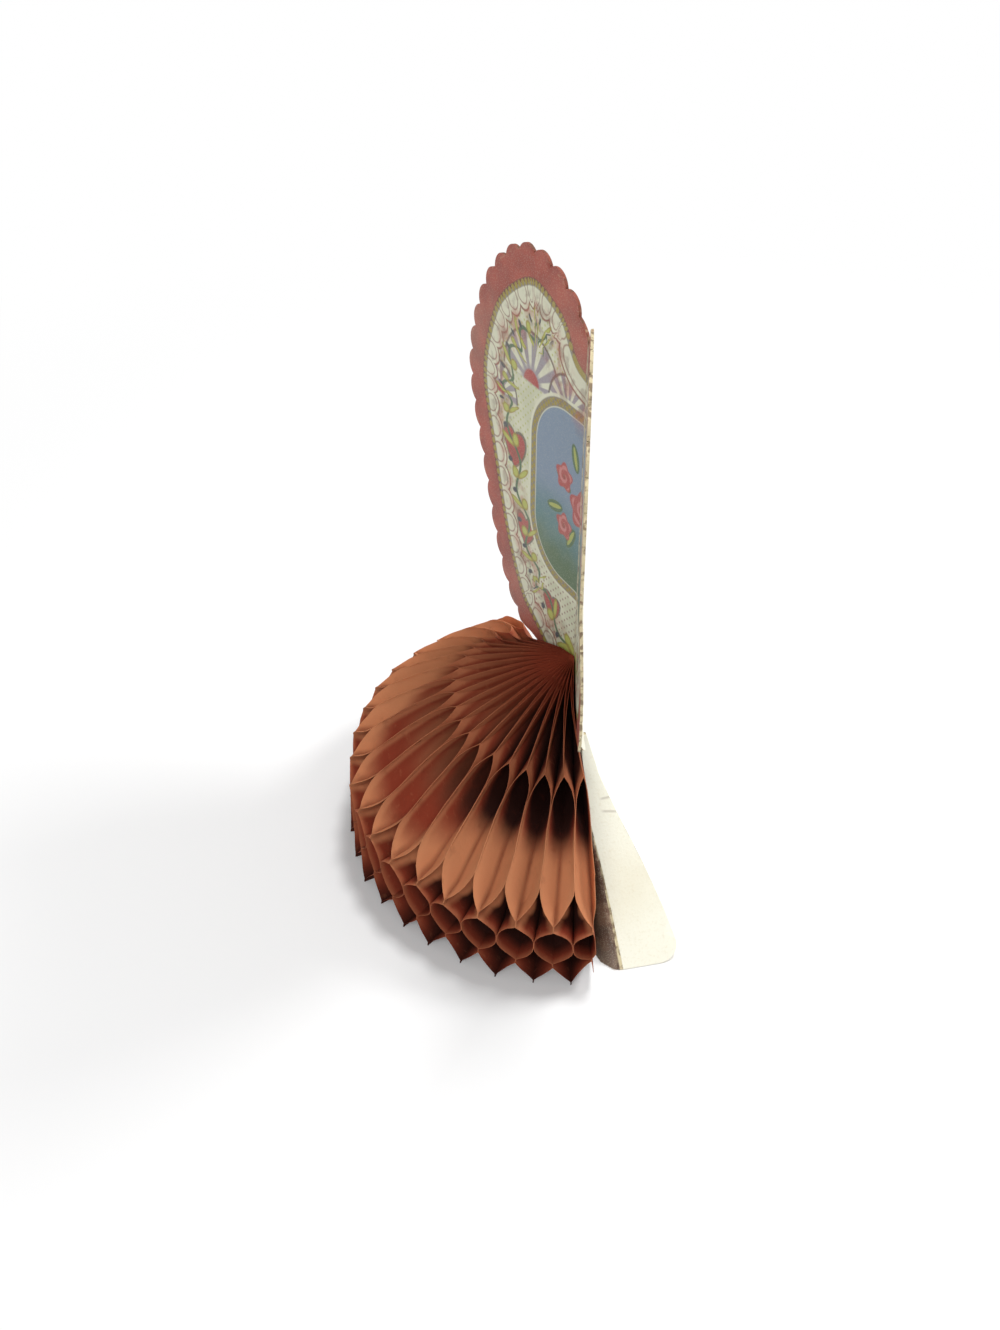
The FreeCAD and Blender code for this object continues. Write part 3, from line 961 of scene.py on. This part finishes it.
@dataclass
class HoneycombFan:
    """The open tissue pad: leaves glued in turn to the leaf before and behind."""

    radius: float = FAN_RADIUS
    rim: float = FAN_RIM
    apex: float = FAN_APEX
    rise: float = 4.9
    opening: float = 163.2
    petals: int = 19
    pitch: float = 12.5
    glue: float = 1.3
    first_glue: float = 6.5
    climbs: Steps = (
        (0.0, 17.6), (16.0, 15.0), (30.0, 11.5), (33.0, 11.8), (36.0, 11.7), (40.0, 10.6),
        (45.0, 7.45), (50.0, 3.6), (52.0, 2.05), (54.0, 0.7), (57.0, 0.25), (60.0, 0.0))
    turns: tuple[float, ...] = (
        57.0, 54.0, 52.0, 50.0, 47.5, 45.0, 42.5, 40.0, 38.0, 36.0, 34.0, 32.0, 24.0)
    tissue: float = 0.13
    core: float = 0.6
    columns: int = 11
    steps: int = 5
    lift: float = FAN_LIFT
    dip: float = 3.0
    flare: float = 1.2
    ripple: float = 0.7
    ripple_seed: int = 1795367201
    corner: float = 5.0
    end_reach: float = 45.0
    end_angle: float = 7.7

    def dome(self, radius: float) -> float:
        """Return the height of the domed edge at a radius."""
        chord = math.hypot(self.radius, self.apex - self.rim)
        bend = (chord * chord / 4 + self.rise * self.rise) / (2 * self.rise)
        along = Vector((-self.radius, self.apex - self.rim)) / chord
        upward = Vector((along.y, -along.x))
        middle = Vector((self.radius / 2, (self.apex + self.rim) / 2))
        middle += upward * (self.rise - bend)
        return middle.y + math.sqrt(max(0.0, bend * bend - (radius - middle.x) ** 2))

    def climb(self, radius: float) -> float:
        """Return how far a glue line has climbed from the rim to a radius."""
        return between(radius, self.climbs)

    def reach(self, level: float) -> float:
        """Return where a row of the given level at the rim meets the domed edge."""
        if level <= self.rim:
            return self.radius
        low, high = self.core, self.radius
        for _ in range(30):
            radius = (low + high) / 2
            if self.dome(radius) > level + self.climb(radius):
                low = radius
            else:
                high = radius
        return (low + high) / 2

    def levels(self) -> list[tuple[float, float]]:
        """Return (level, swing) of each row; swing is 0 at a pair's glue line, 1 at the other."""
        half = self.pitch / 2
        climb = self.climb(self.core)
        top = self.apex - climb - 0.1
        rows = []
        index = -2 * int(climb / self.pitch + 1.5)
        while self.first_glue + index * half < top + half:
            level = self.first_glue + index * half
            swing = abs(index) % 2
            for side in (-0.5, 0.5):
                rows.append((level + side * self.glue, float(swing)))
            for step in range(1, self.steps):
                share = step / self.steps
                low = level + self.glue / 2
                high = level + half - self.glue / 2
                eased = self.ease(share, level, bool(swing))
                rows.append((low + share * (high - low), swing + eased * (1 - 2 * swing)))
            index += 1
        rows.sort()
        inside = [row for row in rows if -climb - half < row[0] < top - 0.3]
        edge_levels = [self.dome(radius) - self.climb(radius) for radius in self.turns]
        bends = [self.row_at(rows, level) for level in edge_levels]
        return sorted(inside + bends + [self.row_at(inside, self.rim), self.row_at(rows, top)])

    @staticmethod
    def ease(share: float, level: float, swung: bool) -> float:
        """Return how far a leaf has swung on its way up to the next glue line.

        Args:
            share: share of the way up.
            level: level of the glue line below.
            swung: True if that line is the neighbouring pair's.

        Returns:
            The share of the swing, 0 to 1.
        """
        if swung and level < 1.0:
            return share
        if swung or level > 31.0:
            return share ** 2.5
        return 1.0 - (1.0 - share) ** (1.35 if level > 12.0 else 1.75)

    @staticmethod
    def row_at(rows: Steps, level: float) -> tuple[float, float]:
        """Return the row at a level, its swing read between its neighbours."""
        for low, high in zip(rows, rows[1:]):
            if low[0] <= level <= high[0]:
                share = (level - low[0]) / (high[0] - low[0])
                return level, low[1] + share * (high[1] - low[1])
        return level, rows[-1][1]

    def leaf(self, name: str, swing_angle: float) -> bpy.types.Object:
        """Model one leaf, row by row to the apex, with its rows still level.

        Args:
            name: the leaf's name.
            swing_angle: how far a row at the other glue line turns, radians.

        Returns:
            The leaf, in the plane of the X and Z axes at its own glue lines.
        """
        rows = self.levels()
        first = rows[0]
        bpy.ops.object.select_all(action="DESELECT")
        bpy.ops.mesh.primitive_plane_add(size=1.0)
        piece = bpy.context.object
        piece.name = name
        width = self.reach(first[0]) - self.core
        bpy.ops.object.mode_set(mode="EDIT")
        bpy.ops.mesh.select_all(action="SELECT")
        bpy.ops.mesh.delete(type="ONLY_FACE")
        mesh = bmesh.from_edit_mesh(piece.data)
        for vertex in mesh.verts:
            vertex.select = vertex.co.y > 0
        mesh.select_flush_mode()
        bmesh.update_edit_mesh(piece.data)
        bpy.ops.mesh.delete(type="VERT")
        bpy.ops.mesh.select_all(action="SELECT")
        bpy.ops.transform.resize(value=(width * MM, 1, 1))
        bpy.ops.transform.translate(value=((self.core + width / 2) * MM, 0.5, first[0] * MM))
        bpy.ops.mesh.subdivide(number_cuts=self.columns)
        turned = first[1] * swing_angle
        self.turn(turned)
        previous = first
        for row in rows[1:]:
            level, swing = row
            bpy.ops.mesh.extrude_edges_move(
                TRANSFORM_OT_translate={"value": (0, 0, (level - previous[0]) * MM)})
            scale = self.reach(level) / self.reach(previous[0])
            bpy.ops.transform.resize(value=(scale, scale, 1), center_override=(0, 0, level * MM))
            self.turn(swing * swing_angle - turned)
            turned = swing * swing_angle
            previous = row
        bpy.ops.object.mode_set(mode="OBJECT")
        return piece

    @staticmethod
    def turn(angle: float) -> None:
        """Turn the selected points about the spine, anticlockwise from above."""
        if abs(angle) > 1e-9:
            bpy.ops.transform.rotate(value=-angle, orient_axis="Z", center_override=(0, 0, 0))

    def settle(self, pad: bpy.types.Object) -> None:
        """Slant the rows up to the spine, cut them at the table and let the pad settle.

        Args:
            pad: the joined leaves.
        """
        for vertex in pad.data.vertices:
            away = math.hypot(vertex.co.x, vertex.co.y) / MM
            vertex.co.z += self.climb(away) * MM
        edit(pad)
        bpy.ops.mesh.bisect(plane_co=(0, 0, 0.00002), plane_no=(0, 0, 1), clear_inner=True)
        bpy.ops.object.mode_set(mode="OBJECT")
        card = HeartCard()
        # Unseeded, the noise follows the clock and each run ripples in its own way.
        noise.seed_set(self.ripple_seed)
        for vertex in pad.data.vertices:
            spot = vertex.co / MM
            away = math.hypot(spot.x, spot.y)
            around = math.degrees(math.atan2(-spot.y, spot.x))
            share = away / self.radius
            raised = smooth(clamp((around - 45.0) / 85.0))
            height = spot.z + self.lift * raised * share * min(1.0, spot.z / self.rim)
            hollow = clamp((around - 128.0) / 40.0) * max(0.0, 1.0 - abs(share - 0.45) / 0.35)
            height -= self.dip * hollow * min(1.0, spot.z / 30.0)
            corner = max(0.0, share - 0.8) / 0.2 * clamp((13.0 - around) / 4.0)
            height += self.corner * corner * max(0.0, 1.0 - spot.z / 12.0)
            for start, side in ((around, 1.0), (180.0 - around, -1.0)):
                if start < self.end_reach:
                    clear = 0.9 + min(0.9, max(0.0, height - 43.0) * 0.3)
                    more = card.bend(height, side > 0.0) + clear - self.end_angle
                    fall = (self.end_reach - start) / (self.end_reach - self.end_angle)
                    around += side * more * fall
            angle = math.radians(around)
            spot.x, spot.y = away * math.cos(angle), -away * math.sin(angle)
            low = max(0.0, 1.0 - spot.z / 13.0)
            wide = 1.0 + self.flare / self.radius * low * low * share ** 3
            push = noise.noise_vector(spot * 0.075) + 0.5 * noise.noise_vector(spot * 0.19)
            push *= self.ripple * share * share
            free = min(1.0, spot.z / 6.0)
            vertex.co = MM * Vector((
                spot.x * wide + push.x, min(spot.y * wide + push.y, -0.02),
                height + 0.6 * push.z * free))

    def build(self) -> bpy.types.Object:
        """Build the pad from its leaves and return it."""
        step = math.radians(self.opening) / (self.petals - 1)
        first = math.radians((self.opening - 180.0) / 2)
        slack = self.tissue / 2 / self.radius
        swing = step / 2 - 2 * slack
        end_swing = step / 14
        forward = self.leaf("leaf_forward", -swing)
        backward = self.leaf("leaf_backward", swing)
        flat_start = self.leaf("leaf_start", end_swing)
        flat_end = self.leaf("leaf_end", -end_swing)
        leaves = []
        for pair in range(self.petals):
            for model, side in ((backward, 1.0), (forward, -1.0)):
                source = model
                if pair == 0 and side > 0:
                    source = flat_start
                if pair == self.petals - 1 and side < 0:
                    source = flat_end
                leaf = copy_piece(source, "leaf")
                edit(leaf)
                self.turn(first - pair * step + side * slack)
                bpy.ops.object.mode_set(mode="OBJECT")
                leaves.append(leaf)
        for model in (forward, backward, flat_start, flat_end):
            bpy.data.objects.remove(model)
        alone(leaves[0])
        for leaf in leaves:
            leaf.select_set(True)
        bpy.ops.object.join()
        pad = bpy.context.object
        pad.name = "honeycomb_tissue_fan"
        self.settle(pad)
        self.finish(pad)
        return pad

    def finish(self, pad: bpy.types.Object) -> None:
        """Give the joined leaves their thickness and finish.

        Args:
            pad: the joined leaves.
        """
        alone(pad)
        solid = pad.modifiers.new("thickness", "SOLIDIFY")
        solid.thickness = self.tissue * MM
        solid.offset = 0.0
        bpy.ops.object.modifier_apply(modifier="thickness")
        for vertex in pad.data.vertices:
            vertex.co.z = max(vertex.co.z, 0.00001)
        pad.data.materials.clear()
        pad.data.materials.append(TissueFinish().material())
        bpy.ops.object.shade_smooth_by_angle(angle=math.radians(20))
        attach(pad, "root")
        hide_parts("honeycomb_fan")
        LOG.info("honeycomb_tissue_fan: %d triangles", triangles(pad))


@dataclass
class Studio:
    """Pale floor, soft lights and the camera."""

    eye: tuple[float, float, float] = (0.2530, -0.0726, 0.2616)
    gaze: tuple[float, float, float] = (-0.7659, 0.1611, -0.6225)
    lens: float = 46.8
    ambient: float = 0.22
    floor_colour: Colour = shade(250, 250, 250)

    def floor(self) -> bpy.types.Object:
        """Lay the pale floor and return it."""
        bpy.ops.object.select_all(action="DESELECT")
        bpy.ops.mesh.primitive_plane_add(size=6.0, location=(0, 0, -0.0002))
        piece = bpy.context.object
        piece.name = "studio_floor"
        nodes = NodeMaker("pale_cloth")
        x, y, _ = nodes.place()
        away = ((x + 20.0) * (x + 20.0) + y * y).root()
        seen = nodes.feed("ShaderNodeLightPath", {}, "Is Camera Ray")
        paled = 0.02 + away.ramp(50.0, 170.0) * 0.38 + away.ramp(150.0, 430.0) * 0.6
        white = Value(nodes, seen) * paled
        diffuse = nodes.feed("ShaderNodeBsdfDiffuse", {"Color": (*self.floor_colour, 1.0)})
        plain = nodes.feed("ShaderNodeEmission", {"Color": (1.0, 1.0, 1.0, 1.0)})
        both = nodes.feed("ShaderNodeMixShader", {0: white, 1: diffuse, 2: plain})
        nodes.make("ShaderNodeOutputMaterial", {}, {0: both})
        piece.data.materials.append(nodes.material)
        return piece

    def lamp(self, name: str, place: Sequence[float], size: float, power: float) -> None:
        """Hang a square soft light that faces the object.

        Args:
            name: the light's name.
            place: where it hangs, metres.
            size: its side, metres.
            power: its power, watts.
        """
        light = bpy.data.lights.new(name, "AREA")
        light.size = size
        light.energy = power
        holder = bpy.data.objects.new(name, light)
        holder.location = place
        toward = Vector((0, 0, 0.05)) - Vector(place)
        holder.rotation_euler = toward.to_track_quat("-Z", "Y").to_euler()
        bpy.context.scene.collection.objects.link(holder)

    def build(self) -> None:
        """Set up the floor, the lights, the world and the camera."""
        self.floor()
        self.lamp("overhead", (-0.30, 0.25, 1.25), 0.3, 8.0)
        self.lamp("window", (-0.15, 0.95, 0.95), 0.35, 7.0)
        self.lamp("fill", (1.0, -0.45, 1.0), 0.8, 8.4)
        world = bpy.data.worlds.new("studio")
        world.use_nodes = True
        plain = world.node_tree.nodes["Background"]
        plain.inputs[0].default_value = (1.0, 1.0, 1.0, 1.0)
        share = world.node_tree.nodes.new("ShaderNodeMath")
        share.operation = "MULTIPLY_ADD"
        share.inputs[1].default_value = 1.0 - self.ambient
        share.inputs[2].default_value = self.ambient
        seen = world.node_tree.nodes.new("ShaderNodeLightPath")
        world.node_tree.links.new(seen.outputs["Is Camera Ray"], share.inputs[0])
        world.node_tree.links.new(share.outputs[0], plain.inputs[1])
        bpy.context.scene.world = world
        camera = bpy.data.cameras.new("camera")
        camera.sensor_fit = "HORIZONTAL"
        camera.sensor_width = 36.0
        camera.lens = self.lens
        camera.clip_start = 0.01
        holder = bpy.data.objects.new("camera", camera)
        holder.location = self.eye
        holder.rotation_euler = Vector(self.gaze).to_track_quat("-Z", "Y").to_euler()
        bpy.context.scene.collection.objects.link(holder)
        bpy.context.scene.camera = holder
        bpy.context.scene.view_settings.view_transform = "Standard"


def main() -> None:
    """Build the studio, the card and the fan, and log the card's and the fan's triangle counts."""
    logging.basicConfig(level=logging.INFO, format="%(message)s")
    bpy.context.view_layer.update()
    HeartCard().build()
    HoneycombFan().build()
    Studio().build()
    bpy.context.view_layer.update()


if __name__ == "__main__":
    main()
